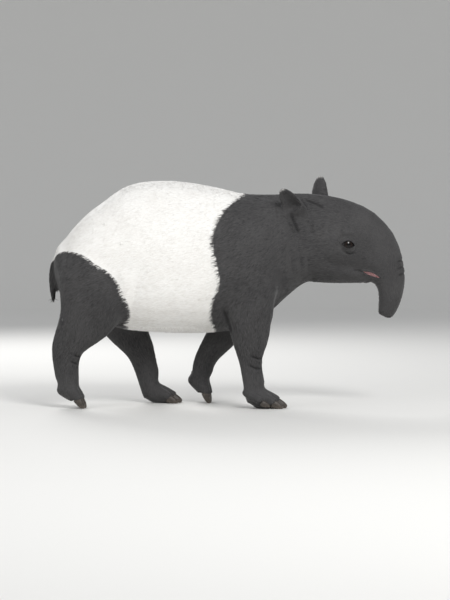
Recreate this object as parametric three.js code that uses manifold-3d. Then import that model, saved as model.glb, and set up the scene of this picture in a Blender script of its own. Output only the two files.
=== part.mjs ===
// A life-size Malayan tapir walking to the right, as a still museum model.
// Units are millimetres. +X is forward, +Y is the animal's left and +Z is up, with z = 0 at the ground.
// The body is made whole, from rows of oval sections, and is then parted into its named pieces by thin gaps.
import * as THREE from "three";
import { mergeVertices } from "three/addons/utils/BufferGeometryUtils.js";
import Module from "manifold-3d";

const wasm = await Module();
wasm.setup();

// Driving dimensions
const GAP = 0.3; // between neighbouring pieces
const FORE_TRACK = 138; // from the mid-plane to the middle of a forefoot
const HIND_TRACK = 130; // from the mid-plane to the middle of a hind foot
const EYE_RADIUS = 24;
const EYE_X = 529;
const EYE_Y = 88; // from the mid-plane
const EYE_Z = 724;
const LID_THICKNESS = 5;
const EAR_LENGTH = 164;
const LIP_RADIUS = 7;
const MOUTH_GAPE = 12;
const FAR = 500; // past everything, for cutting shapes
const SIDES = { right: -1, left: 1 };

// Colours of the coat and of the bare parts
const DARK_COAT = 0x3f3f41;
const PALE_COAT = 0xe9e7e2;
const HOOF = 0x2c2826;
const EYE = 0x17110e;
const TONGUE = 0xe58f95;

const degrees = THREE.MathUtils.degToRad;

// Solids from three.js geometry

function solidOf(geometry) {
  const bare = geometry.clone();
  bare.deleteAttribute("normal");
  bare.deleteAttribute("uv");
  const merged = mergeVertices(bare, 1e-3);
  const triVerts = new Uint32Array(merged.index.array);
  const build = () =>
    new wasm.Manifold(
      new wasm.Mesh({ numProp: 3, vertProperties: merged.attributes.position.array, triVerts }),
    );
  const solid = build();
  if (solid.volume() > 0) return solid;
  for (let i = 0; i < triVerts.length; i += 3)
    [triVerts[i + 1], triVerts[i + 2]] = [triVerts[i + 2], triVerts[i + 1]];
  return build();
}

function geometryOf(solid) {
  const mesh = solid.getMesh();
  const geometry = new THREE.BufferGeometry();
  geometry.setAttribute("position", new THREE.BufferAttribute(mesh.vertProperties, 3));
  geometry.setIndex(new THREE.BufferAttribute(mesh.triVerts, 1));
  return geometry;
}

// The largest closed body of a cut solid.
function largest(solid) {
  return solid.decompose().reduce((best, body) => (body.volume() > best.volume() ? body : best));
}

function join(solids) {
  return solids.reduce((whole, solid) => whole.add(solid));
}

// Sections

// One oval section of a form. It faces along `aim`, in degrees above +X in the side view. `over` is how far
// it reaches to its upper (or front) side, `under` to its lower (or back) side and `wide` to each side of y.
// `low` widens its lower half and narrows its upper half, and `full` above 2 makes it squarer.
function section(x, z, aim, over, under, wide, { y = 0, low = 0, full = 2 } = {}) {
  return {
    place: new THREE.Vector3(x, y, z),
    reach: new THREE.Vector3(over, under, wide),
    shape: new THREE.Vector3(aim, low, full),
  };
}

function smooth(sections, key) {
  return new THREE.CatmullRomCurve3(sections.map((s) => s[key]), false, "catmullrom", 0.5);
}

const power = (value, exponent) => Math.sign(value) * Math.abs(value) ** exponent;

const ROUND_DOME = [65, 35]; // the rings of a dome, in degrees from its open end
const PLAIN_DOME = [50];

// A closed form through a row of sections. Each end is rounded off by a dome of the given length, and `grow`
// makes the whole form larger by that much.
function form(sections, { around = 20, steps = 2, domes = [10, 10], dome = ROUND_DOME, grow = 0 } = {}) {
  const [places, reaches, shapes] = ["place", "reach", "shape"].map((key) => smooth(sections, key));
  const rings = [];
  const ring = (t, share, shift) => {
    const place = places.getPoint(t);
    const reach = reaches.getPoint(t).addScalar(grow).multiplyScalar(share);
    const shape = shapes.getPoint(t);
    const aim = degrees(shape.x);
    const ahead = new THREE.Vector3(Math.cos(aim), 0, Math.sin(aim));
    const up = new THREE.Vector3(-Math.sin(aim), 0, Math.cos(aim));
    const centre = place.addScaledVector(ahead, shift);
    rings.push(
      Array.from({ length: around }, (_, i) => {
        const angle = (i / around) * 2 * Math.PI;
        const rise = power(Math.sin(angle), 2 / shape.z);
        const side = power(Math.cos(angle), 2 / shape.z) * (1 - shape.y * rise);
        return centre
          .clone()
          .addScaledVector(up, rise * (rise > 0 ? reach.x : reach.y))
          .add(new THREE.Vector3(0, side * reach.z, 0));
      }),
    );
  };
  const spans = (sections.length - 1) * steps;
  const tip = (t, shift) => {
    const aim = degrees(shapes.getPoint(t).x);
    return places.getPoint(t).add(new THREE.Vector3(Math.cos(aim) * shift, 0, Math.sin(aim) * shift));
  };
  const [startDome, endDome] = domes.map((length) => length + grow);
  for (const a of dome) ring(0, Math.cos(degrees(a)), -startDome * Math.sin(degrees(a)));
  for (let i = 0; i <= spans; i++) ring(i / spans, 1, 0);
  for (const a of [...dome].reverse())
    ring(1, Math.cos(degrees(a)), endDome * Math.sin(degrees(a)));
  return solidOf(skinOf(rings, tip(0, -startDome), tip(1, endDome)));
}

// The closed surface over a row of rings, with a pole at each end.
function skinOf(rings, start, end) {
  const around = rings[0].length;
  const points = [...rings.flat(), start, end];
  const [startPole, endPole] = [points.length - 2, points.length - 1];
  const faces = [];
  const last = (rings.length - 1) * around;
  for (let i = 0; i < around; i++) {
    const next = (i + 1) % around;
    faces.push(startPole, next, i, endPole, last + i, last + next);
    for (let r = 0; r < last; r += around)
      faces.push(r + i, r + next, r + around + i, r + next, r + around + next, r + around + i);
  }
  const geometry = new THREE.BufferGeometry().setFromPoints(points);
  geometry.setIndex(faces);
  return geometry;
}

// A round rod along a smooth curve.
function rod(points, radius, sides = 6, steps = 9) {
  const curve = new THREE.CatmullRomCurve3(points.map((p) => new THREE.Vector3(...p)));
  const round = new THREE.Shape().absarc(0, 0, radius, 0, 2 * Math.PI, false);
  return solidOf(
    new THREE.ExtrudeGeometry(round, { extrudePath: curve, steps, curveSegments: sides / 2 }),
  );
}

// A ball, stretched to its half sizes.
function ball(centre, [rx, ry, rz], wide = 14, high = 8) {
  const geometry = new THREE.SphereGeometry(1, wide, high);
  geometry.scale(rx, ry, rz);
  geometry.translate(...centre);
  return solidOf(geometry);
}

// Cuts

// The outline moved outwards by a distance, corner by corner.
function offset(outline, distance) {
  const turn = Math.sign(THREE.ShapeUtils.area(outline));
  return outline.map((point, i) => {
    const before = outline.at(i - 1);
    const after = outline[(i + 1) % outline.length];
    const a = point.clone().sub(before).normalize();
    const b = after.clone().sub(point).normalize();
    const normal = new THREE.Vector2(a.y + b.y, -a.x - b.x).normalize().multiplyScalar(turn);
    const square = new THREE.Vector2(a.y, -a.x).multiplyScalar(turn);
    return point.clone().addScaledVector(normal, distance / Math.max(normal.dot(square), 0.4));
  });
}

// Everything inside an outline drawn in the side view, from one y to another, larger by `grow`.
function block(corners, [from, to], grow = 0) {
  const outline = offset(corners.map(([x, z]) => new THREE.Vector2(x, z)), grow);
  const depth = to - from + 2 * grow;
  const geometry = new THREE.ExtrudeGeometry(new THREE.Shape(outline), { depth, bevelEnabled: false });
  geometry.rotateX(Math.PI / 2);
  geometry.translate(0, to + grow, 0);
  return solidOf(geometry);
}

// A smooth outline through a few points in the side view.
function rounded(corners, divisions = 22) {
  const curve = new THREE.CatmullRomCurve3(corners.map(([x, z]) => new THREE.Vector3(x, 0, z)), true);
  return curve.getPoints(divisions).slice(0, -1).map((p) => [p.x, p.z]);
}

// The body between rump and trunk tip

// Rump, barrel, neck, head and trunk are one smooth row of sections, so nothing creases between them.
const SPINE = [
  section(-708, 596, 10, 160, 150, 154),
  section(-640, 628, 6, 212, 236, 202, { low: 0.04, full: 2.15 }),
  section(-550, 644, 4, 268, 288, 222, { low: 0.06, full: 2.15 }),
  section(-440, 648, 2, 342, 312, 240, { low: 0.08, full: 2.1 }),
  section(-310, 640, 0, 372, 312, 252, { low: 0.1, full: 2.1 }),
  section(-180, 634, 0, 370, 310, 256, { low: 0.1, full: 2.1 }),
  section(-50, 632, 0, 348, 304, 250, { low: 0.08, full: 2.1 }),
  section(60, 640, 0, 315, 292, 230, { low: 0.06, full: 2.1 }),
  section(150, 668, 3, 282, 268, 198, { low: 0.06, full: 2.1 }),
  section(226, 706, 8, 246, 226, 164, { low: 0.08 }),
  section(296, 738, 8, 216, 200, 138, { low: 0.1 }),
  section(362, 752, 2, 202, 194, 124, { low: 0.12 }),
  section(436, 752, -6, 192, 180, 120, { low: 0.14 }),
  section(510, 738, -14, 186, 166, 112, { low: 0.16, full: 2.05 }),
  section(580, 708, -26, 178, 132, 93, { low: 0.12, full: 2.05 }),
  section(640, 662, -42, 152, 96, 76, { low: 0.08 }),
  section(688, 606, -60, 112, 70, 61),
  section(718, 546, -76, 80, 52, 50),
  section(726, 490, -90, 58, 50, 43),
  section(718, 440, -102, 44, 44, 36, { low: -0.05 }),
  section(708, 410, -108, 33, 36, 29, { low: -0.08, full: 2.3 }),
];

// The lower jaw, from the angle behind the cheek to the chin.
const JAW = [
  section(384, 638, 0, 62, 86, 101, { low: -0.1 }),
  section(456, 624, 0, 54, 72, 95, { low: -0.12 }),
  section(532, 607, -2, 42, 56, 78, { low: -0.12 }),
  section(594, 590, -6, 27, 40, 59, { low: -0.1 }),
  section(636, 577, -10, 16, 27, 45),
];

// The tail hangs straight down from the rump.
const TAIL = [
  section(-742, 700, -125, 26, 26, 30),
  section(-776, 646, -106, 25, 22, 28),
  section(-789, 590, -95, 22, 20, 25),
  section(-791, 535, -88, 18, 17, 21),
  section(-788, 492, -84, 12, 12, 15),
];

// Legs

// Right foreleg under the weight, and left foreleg at the end of its stride.
const FORELEGS = {
  right: [
    section(118, 800, -98, 78, 112, 50, { y: 118 }),
    section(110, 690, -96, 112, 138, 66, { y: 136 }),
    section(94, 570, -92, 128, 136, 76, { y: 144 }),
    section(92, 455, -88, 118, 116, 72, { y: 147 }),
    section(92, 365, -88, 104, 98, 63, { y: 145 }),
    section(96, 290, -88, 82, 80, 54, { y: 142 }),
    section(97, 218, -86, 56, 56, 45, { y: 140 }),
    section(104, 160, -82, 50, 50, 42, { y: FORE_TRACK }),
    section(113, 108, -78, 51, 50, 44, { y: FORE_TRACK }),
  ],
  left: [
    section(118, 800, -98, 78, 112, 50, { y: 118 }),
    section(106, 690, -98, 112, 138, 66, { y: 136 }),
    section(82, 575, -102, 122, 132, 76, { y: 144 }),
    section(52, 465, -108, 108, 112, 72, { y: 147 }),
    section(14, 380, -118, 92, 92, 63, { y: 145 }),
    section(-36, 300, -124, 74, 74, 54, { y: 142 }),
    section(-86, 232, -122, 58, 56, 45, { y: 140 }),
    section(-112, 178, -106, 51, 52, 42, { y: FORE_TRACK }),
    section(-119, 130, -92, 47, 50, 43, { y: FORE_TRACK }),
  ],
};

// Right hind leg pushing off behind, and left hind leg set down under the belly.
const HIND_LEGS = {
  right: [
    section(-566, 778, -90, 84, 96, 46, { y: 108 }),
    section(-590, 690, -90, 130, 128, 78, { y: 126 }),
    section(-600, 580, -91, 156, 156, 98, { y: 143 }),
    section(-602, 478, -96, 160, 150, 96, { y: 144 }),
    section(-632, 396, -106, 142, 122, 82, { y: 140 }),
    section(-678, 326, -112, 104, 96, 64, { y: 136 }),
    section(-713, 262, -102, 74, 76, 50, { y: 132 }),
    section(-719, 200, -88, 58, 64, 42, { y: HIND_TRACK }),
    section(-717, 140, -86, 54, 56, 42, { y: HIND_TRACK }),
  ],
  left: [
    section(-560, 778, -90, 84, 96, 46, { y: 108 }),
    section(-580, 690, -88, 130, 128, 78, { y: 126 }),
    section(-572, 580, -84, 150, 160, 98, { y: 143 }),
    section(-532, 478, -78, 146, 146, 96, { y: 144 }),
    section(-492, 390, -70, 118, 120, 82, { y: 140 }),
    section(-448, 312, -64, 88, 92, 64, { y: 136 }),
    section(-406, 246, -68, 68, 72, 50, { y: 132 }),
    section(-384, 186, -74, 58, 60, 42, { y: HIND_TRACK }),
    section(-366, 126, -70, 54, 56, 42, { y: HIND_TRACK }),
  ],
};

// Feet are made flat on the ground, with the tip of the middle hoof at x = 0, and then turned about it.
// Each toe is [outward place, its hoof's tip behind the middle one, size, height above the ground].
const FORE_TOES = {
  inner: [-42, 17, 0.92, 0],
  middle: [0, 0, 1.08, 0],
  outer: [43, 19, 0.92, 0],
  side: [60, 78, 0.74, 8],
};
const HIND_TOES = {
  inner: [-42, 18, 0.92, 0],
  middle: [0, 0, 1.1, 0],
  outer: [42, 18, 0.92, 0],
};
const HOOF_LENGTH = 50;

// `heel` is how far the middle of the heel lies behind the tip.
const FEET = {
  fore_right: { leg: FORELEGS.right, toes: FORE_TOES, tip: 262, heel: 146, pitch: 0, track: FORE_TRACK },
  fore_left: { leg: FORELEGS.left, toes: FORE_TOES, tip: -86, heel: 104, pitch: 46, track: FORE_TRACK },
  hind_right: { leg: HIND_LEGS.right, toes: HIND_TOES, tip: -636, heel: 104, pitch: 30, track: HIND_TRACK },
  hind_left: { leg: HIND_LEGS.left, toes: HIND_TOES, tip: -210, heel: 146, pitch: 0, track: HIND_TRACK },
};

// Turns and moves a foot made at the origin to its place on one side of the body.
function place(solid, { tip, pitch, track, drop = 0 }, side) {
  const matrix = new THREE.Matrix4()
    .makeTranslation(tip, side * track, -drop)
    .multiply(new THREE.Matrix4().makeRotationY(degrees(pitch)))
    .multiply(new THREE.Matrix4().makeScale(1, side, 1));
  return solid.transform(matrix.elements);
}

const floor = block([[-FAR * 4, -FAR], [FAR * 4, -FAR], [FAR * 4, 0], [-FAR * 4, 0]], [-FAR, FAR]);

function hoof([out, back, size, lift], grow = 0) {
  const turn = out * -0.12;
  const at = (x, z, aim, over, under, wide) =>
    section(-back + x * size, lift + z * size, aim, over * size, under * size, wide * size, {
      y: out + (turn * (x + HOOF_LENGTH)) / HOOF_LENGTH,
      full: 2.5,
    });
  const shell = form(
    [
      at(-HOOF_LENGTH, 30, -30, 15, 24, 16),
      at(-36, 22, -30, 17, 21, 19),
      at(-20, 14, -30, 14, 17, 19),
      at(-8, 8, -30, 9, 12, 15),
    ],
    { around: 10, steps: 1, domes: [4, 7], dome: PLAIN_DOME, grow },
  );
  const flat = block([[-FAR, -FAR], [FAR, -FAR], [FAR, lift - grow], [-FAR, lift - grow]], [-FAR, FAR]);
  return shell.subtract(flat);
}

// The flesh of a foot: its toes and the pad behind them.
function footFlesh(toes) {
  const digits = Object.values(toes).map(([out, back, size, lift]) => {
    const toe = (x, z, aim, r, inset) =>
      section(-back - x, z + lift, aim, r * size, r * size * 1.05, r * size * 0.95, { y: out * inset });
    return form([toe(112, 66, -38, 27, 0.45), toe(78, 46, -34, 26, 0.8), toe(44, 30, -30, 22, 1)], {
      around: 10,
      steps: 1,
      domes: [14, 10],
      dome: PLAIN_DOME,
    });
  });
  const pad = form(
    [
      section(-142, 36, 0, 36, 39, 40, { full: 2.3 }),
      section(-108, 38, -4, 46, 42, 50, { full: 2.3 }),
      section(-74, 30, -8, 32, 32, 50, { full: 2.3 }),
    ],
    { around: 12, steps: 1, domes: [20, 16], dome: PLAIN_DOME },
  );
  return join([pad, ...digits]);
}

// The toes of a foot that stands on its tips: the inner and outer hooves come level with the middle one, and
// the small side toe stays behind.
function gathered(toes) {
  const level = ([name, [out, back, size, lift]]) => [name, [out, name === "side" ? back : back * 0.3, size, lift]];
  return Object.fromEntries(Object.entries(toes).map(level));
}

// Everything of one foot: the flesh without its hooves, and each hoof.
function foot(name, side) {
  const { leg, tip, pitch, track } = FEET[name];
  const toes = pitch ? gathered(FEET[name].toes) : FEET[name].toes;
  // A raised foot is let down until the tips of its hooves are worn flat by this much.
  const WORN = 3;
  const lowest = place(hoof(toes.middle), FEET[name], side).boundingBox().min[2];
  const drop = pitch ? lowest + WORN : 0;
  const at = { ...FEET[name], drop };
  const flesh = place(footFlesh(toes), at, side);
  // The ankle carries on from the end of the leg to the heel.
  const heel = new THREE.Vector3(-FEET[name].heel, 0, 46).applyAxisAngle(new THREE.Vector3(0, 1, 0), degrees(pitch));
  const end = mirror(leg.slice(-2), side);
  const ankle = form(
    [...end, section(tip + heel.x, heel.z, end[1].shape.x + 22, 44, 44, 45, { y: side * track, full: 2.2 })],
    { around: 16, steps: 1, domes: [6, 20], dome: PLAIN_DOME },
  );
  const hooves = {};
  let body = flesh.add(ankle).subtract(floor);
  for (const [toe, sizes] of Object.entries(toes)) {
    hooves[toe] = place(hoof(sizes), at, side).subtract(floor);
    body = body.subtract(place(hoof(sizes, GAP), at, side));
  }
  return { body: largest(body), hooves };
}

// Head details

// The two lips run round the front of the mouth, from corner to corner.
function lips() {
  const half = [
    [594, 60, 604],
    [626, 54, 596],
    [652, 42, 586],
    [664, 18, 580],
  ];
  const line = (rise) => [
    ...half.map(([x, y, z]) => [x, -y, z + rise]),
    ...[...half].reverse().map(([x, y, z]) => [x, y, z + rise]),
  ];
  return [rod(line(LIP_RADIUS), LIP_RADIUS), rod(line(-LIP_RADIUS), LIP_RADIUS)];
}

// The line of the mouth in the side view, from its corner forwards, as [x, z, share of the gape].
const MOUTH_LINE = [
  [588, 605, 0.1],
  [608, 601, 0.7],
  [636, 592, 1],
  [676, 575, 1],
];
const TONGUE_LINE = [
  [600, 602.6, 0.35],
  [612, 599.7, 0.65],
  [636, 592, 0.9],
  [665, 579.7, 0.9],
];

// A slit along a line of the mouth, made thinner by `inset` for the tongue that lies in it.
function slit(line, inset, halfWidth) {
  const edge = (rise) => line.map(([x, z, share]) => [x, z + rise * (share * (MOUTH_GAPE / 2) - inset)]);
  return block([...edge(1), ...edge(-1).reverse()], [-halfWidth, halfWidth]);
}

function eyeCentre(side) {
  return [EYE_X, side * EYE_Y, EYE_Z];
}

// Lids stand round the eye as a low dome with an almond opening.
function lids(side) {
  const [x, y, z] = eyeCentre(side);
  const r = EYE_RADIUS + LID_THICKNESS;
  return ball([x, y, z], [r * 1.24, r * 0.95, r]);
}

function eyeOpening(side) {
  const almond = new THREE.Shape();
  const halfLength = 23;
  almond.moveTo(-halfLength, 0);
  almond.quadraticCurveTo(-4, 30, halfLength, -3);
  almond.quadraticCurveTo(0, -25, -halfLength, 0);
  const geometry = new THREE.ExtrudeGeometry(almond, { depth: 60, bevelEnabled: false, curveSegments: 6 });
  geometry.rotateX(Math.PI / 2);
  const [x, y, z] = eyeCentre(side);
  geometry.translate(x, side > 0 ? y + 66 : y - 6, z);
  return solidOf(geometry);
}

// An ear is a leaf-shaped cup. It is made along +Z with its opening towards -X, and then set on the head.
const EARS = {
  right: { root: [306, -86, 868], lean: [32, -36, 76] },
  left: { root: [412, 64, 884], lean: [-16, 2, 232] },
};

function earLeaf(thick, wide, depth, base, length, grow = 0) {
  const rows = [
    [0, 1.08, 1],
    [0.22, 1.03, 1],
    [0.42, 1, 0.9],
    [0.62, 0.9, 0.78],
    [0.8, 0.72, 0.6],
    [0.95, 0.4, 0.36],
  ];
  return form(
    rows.map(([share, w, t]) => section(depth, base + share * length, 90, thick * t, thick * t, wide * w)),
    { around: 14, steps: 1, domes: [8, 8], dome: PLAIN_DOME, grow },
  );
}

function ear(side, grow = 0) {
  const { root, lean } = EARS[side];
  const shell = earLeaf(30, 44, 0, -30, EAR_LENGTH + 22, grow);
  const cup = earLeaf(29, 38, -14, 34, EAR_LENGTH - 47, -grow);
  const [roll, pitch, yaw] = lean.map(degrees);
  const matrix = new THREE.Matrix4()
    .makeTranslation(...root)
    .multiply(new THREE.Matrix4().makeRotationY(pitch))
    .multiply(new THREE.Matrix4().makeRotationX(roll))
    .multiply(new THREE.Matrix4().makeRotationZ(yaw));
  return shell.subtract(cup).transform(matrix.elements);
}

function nostril(side) {
  return ball([716, side * 14, 392], [15, 7, 15], 10, 6);
}

// The whole body, and its parting

function trunkLine(grow) {
  return form(SPINE, { around: 28, steps: 2, domes: [76, 12], grow });
}

const mirror = (rows, side) =>
  rows.map((s) => ({ ...s, place: s.place.clone().setY(s.place.y * side) }));

function wholeBody() {
  const pieces = [
    trunkLine(0),
    form(JAW, { around: 16, domes: [34, 18] }),
    form(TAIL, { around: 10, domes: [10, 14], dome: PLAIN_DOME }),
    ...lips(),
  ];
  for (const [name, side] of Object.entries(SIDES)) {
    pieces.push(form(mirror(FORELEGS[name], side), { around: 16, domes: [60, 24] }));
    pieces.push(form(mirror(HIND_LEGS[name], side), { around: 16, domes: [60, 24] }));
    pieces.push(lids(side));
  }
  let body = join(pieces);
  for (const side of Object.values(SIDES)) {
    const [x, y, z] = eyeCentre(side);
    const socket = EYE_RADIUS + GAP;
    body = body
      .subtract(ball([x, y, z], [socket, socket, socket]))
      .subtract(eyeOpening(side))
      .subtract(nostril(side));
  }
  return largest(body.subtract(slit(MOUTH_LINE, 0, FAR)).subtract(floor));
}

// Where each piece ends, drawn in the side view.
const SEAMS = {
  trunk: [[600, 400], [668, 548], [690, 600], [760, 648], [900, 700], [900, 300], [600, 300]],
  jaw: [
    [662, 530], [676, 575], [636, 592], [608, 601], [588, 605], [520, 622], [456, 638],
    [412, 634], [382, 614], [364, 580], [354, 540], [352, 480], [640, 480],
  ],
  head: [[330, 1040], [318, 930], [300, 800], [306, 690], [332, 590], [338, 400], [900, 400], [900, 1040]],
  neck: [[120, 1040], [150, 930], [200, 800], [234, 680], [240, 560], [234, 470], [234, 380], [600, 380], [600, 1040]],
  tail: [[-786, 640], [-787, 585], [-779, 530], [-766, 420], [-900, 420], [-900, 700], [-790, 696]],
  shoulder: rounded([[20, 780], [110, 836], [196, 770], [226, 620], [226, 470], [196, 380], [60, 360], [-70, 400], [-66, 560], [-36, 690]]),
  haunch: rounded([[-700, 800], [-590, 842], [-480, 760], [-420, 620], [-405, 480], [-430, 360], [-560, 300], [-790, 360], [-820, 520], [-790, 690]]),
};

// Joint lines across a leg, as [x, z, tilt, half length] in the side view.
const JOINTS = {
  fore_right: { elbow: [92, 372, -2, 108], wrist: [99, 192, 6, 80], ankle: [112, 122, 8, 80] },
  fore_left: { elbow: [4, 362, -26, 104], wrist: [-104, 196, -18, 80], ankle: [-118, 140, -4, 80] },
  hind_right: { elbow: [-650, 366, -16, 170], wrist: [-716, 228, -4, 110], ankle: [-717, 150, 4, 90] },
  hind_left: { elbow: [-480, 366, 20, 136], wrist: [-398, 216, 16, 90], ankle: [-372, 142, 18, 90] },
};

// Everything below a line across a leg, on one side of the body.
function below([x, z, tilt, half], side, grow) {
  const along = new THREE.Vector2(Math.cos(degrees(tilt)), Math.sin(degrees(tilt))).multiplyScalar(half);
  const SPREAD = 200; // room for a leg that slants away below the line
  const INNER = 54; // nearer to the mid-plane than the inside of any leg
  const corners = [
    [x - along.x, z - along.y],
    [x + along.x, z + along.y],
    [x + along.x + SPREAD, z - FAR],
    [x - along.x - SPREAD, z - FAR],
  ];
  const span = side > 0 ? [INNER, FAR] : [-FAR, -INNER];
  return block(corners, span, grow);
}

const parts = {};
let rest = wholeBody();

// Takes what lies in a region off the rest of the body, as a named part.
function part(name, region) {
  parts[name] = largest(rest.intersect(region(0)));
  rest = largest(rest.subtract(region(GAP)));
}

const across = [-FAR, FAR];
part("trunk", (grow) => block(SEAMS.trunk, across, grow));
part("lower_jaw", (grow) => block(SEAMS.jaw, across, grow));
part("head", (grow) => block(SEAMS.head, across, grow));
part("neck", (grow) => block(SEAMS.neck, across, grow));
part("tail", (grow) => block(SEAMS.tail, [-34, 34], grow));

const LEGS = [
  { end: "fore", upper: "shoulder", lower: "forearm", shank: "wrist", foot: "forefoot", seam: SEAMS.shoulder, inner: 96 },
  { end: "hind", upper: "thigh", lower: "shin", shank: "hock", foot: "hindfoot", seam: SEAMS.haunch, inner: 80 },
];

for (const leg of LEGS)
  for (const [sideName, side] of Object.entries(SIDES)) {
    const key = `${leg.end}_${sideName}`;
    const { elbow, wrist, ankle } = JOINTS[key];
    const { body, hooves } = foot(key, side);
    const sole = below(ankle, side, 0);
    parts[`${leg.foot}_${sideName}`] = largest(body.intersect(sole));
    rest = largest(rest.subtract(below(ankle, side, GAP)));
    for (const [toe, solid] of Object.entries(hooves)) parts[`hoof_${key}_${toe}`] = solid;
    part(`${leg.shank}_${sideName}`, (grow) => below(wrist, side, grow));
    part(`${leg.lower}_${sideName}`, (grow) => below(elbow, side, grow));
    const span = (grow) => (side > 0 ? [leg.inner, FAR] : [-FAR, -leg.inner]);
    part(`${leg.upper}_${sideName}`, (grow) => block(leg.seam, span(grow), grow));
  }
parts.torso = rest;

for (const [name, side] of Object.entries(SIDES)) {
  const [x, y, z] = eyeCentre(side);
  parts[`eye_${name}`] = ball([x, y, z], [EYE_RADIUS, EYE_RADIUS, EYE_RADIUS]);
  parts[`ear_${name}`] = largest(ear(name).subtract(trunkLine(GAP)));
}
parts.tongue = slit(TONGUE_LINE, 2 * GAP, 33);

// The model

function colourOf(name) {
  if (name.startsWith("hoof")) return [HOOF, 0.45];
  if (name.startsWith("eye")) return [EYE, 0.1];
  if (name === "tongue") return [TONGUE, 0.4];
  if (name === "torso") return [PALE_COAT, 0.85];
  return [DARK_COAT, 0.8];
}

// The origin is the middle of the ground under the model, from tail to trunk.
const boxes = Object.values(parts).map((solid) => solid.boundingBox());
const middle = (Math.min(...boxes.map((b) => b.min[0])) + Math.max(...boxes.map((b) => b.max[0]))) / 2;

const tapir = new THREE.Group();
for (const [name, solid] of Object.entries(parts)) {
  const [color, roughness] = colourOf(name);
  const mesh = new THREE.Mesh(
    geometryOf(solid.translate(-middle, 0, 0)),
    new THREE.MeshStandardMaterial({ color, roughness, metalness: 0 }),
  );
  mesh.name = name;
  tapir.add(mesh);
}

export default tapir;
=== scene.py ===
"""A life-size Malayan tapir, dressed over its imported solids.

The hide is one skin: the solids of flesh are joined, remeshed and smoothed, and the folds, lids, lips, nostrils and
trunk rings are then modelled in it. The short coat is bump in its material, with small solid tufts over it.
Everything is in metres in the frame of the solids: +X forward, +Y the animal's left, +Z up, the ground at z = 0.
"""
import math

import bpy
import numpy as np
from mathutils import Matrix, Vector, noise
from mathutils.bvhtree import BVHTree


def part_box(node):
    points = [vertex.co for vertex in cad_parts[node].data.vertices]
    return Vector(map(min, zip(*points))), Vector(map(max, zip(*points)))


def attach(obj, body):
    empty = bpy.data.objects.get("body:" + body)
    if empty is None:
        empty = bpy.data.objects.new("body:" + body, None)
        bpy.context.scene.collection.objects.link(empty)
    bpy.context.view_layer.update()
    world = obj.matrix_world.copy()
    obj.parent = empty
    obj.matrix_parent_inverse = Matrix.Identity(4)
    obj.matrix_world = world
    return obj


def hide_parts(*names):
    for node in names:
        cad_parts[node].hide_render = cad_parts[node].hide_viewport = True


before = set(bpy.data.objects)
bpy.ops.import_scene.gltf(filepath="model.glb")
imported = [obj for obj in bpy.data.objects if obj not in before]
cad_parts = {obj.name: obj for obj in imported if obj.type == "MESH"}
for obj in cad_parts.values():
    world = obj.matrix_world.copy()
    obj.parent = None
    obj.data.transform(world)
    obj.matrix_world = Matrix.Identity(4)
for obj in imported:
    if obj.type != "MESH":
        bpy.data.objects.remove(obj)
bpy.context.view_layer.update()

MM = 0.001
RIGHT, LEFT, BOTH = -1, 1, 0
SIDES = ((RIGHT, "right"), (LEFT, "left"))
NODES = sorted(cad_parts)
HOOVES = [n for n in NODES if n.startswith("hoof")]
EYES = {RIGHT: "eye_right", LEFT: "eye_left"}
FLESH = [n for n in NODES if n not in HOOVES and n not in EYES.values() and n != "tongue"]

MIDDLE_OF_VIEW = -0.009
FLOOR_RADIUS, WALL_BEND = 10, 5
SKIN_TRIANGLES = 185000
TUFTS = 120000

# All that is random comes from one seeded source, in one order.
rng = np.random.default_rng(4)


# Camera, floor and lights


def mix_hex(code):
    """An sRGB hex colour as linear red, green, blue and alpha."""
    parts = [int(code[i : i + 2], 16) / 255 for i in (1, 3, 5)]
    return [p / 12.92 if p < 0.04045 else ((p + 0.055) / 1.055) ** 2.4 for p in parts] + [1.0]


def add_node(tree, kind, inputs=None, **settings):
    """One shader node, with its settings and what goes into its sockets: a value, or another node's output."""
    made = tree.nodes.new(kind)
    for key, value in settings.items():
        setattr(made, key, value)
    for socket, value in (inputs or {}).items():
        if isinstance(value, bpy.types.NodeSocket):
            tree.links.new(value, made.inputs[socket])
        else:
            made.inputs[socket].default_value = value
    return made


def aim(thing, target):
    """Turns a camera or light towards a place."""
    thing.rotation_euler = (Vector(target) - thing.location).to_track_quat("-Z", "Y").to_euler()


def add_camera():
    """A side view from a little under the back's height, from far enough away to look as flat as the drawing."""
    data = bpy.data.cameras.new("camera")
    data.lens = 120
    data.sensor_width = 36
    camera = bpy.data.objects.new("camera", data)
    bpy.context.scene.collection.objects.link(camera)
    camera.location = (MIDDLE_OF_VIEW, -9, 0.83)
    aim(camera, (MIDDLE_OF_VIEW, 0, 0.475))
    bpy.context.scene.camera = camera


def add_light(name, location, target, size, power):
    data = bpy.data.lights.new(name, "AREA")
    data.shape = "DISK"
    data.size = size
    data.energy = power
    light = bpy.data.objects.new(name, data)
    bpy.context.scene.collection.objects.link(light)
    light.location = location
    aim(light, target)


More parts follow.
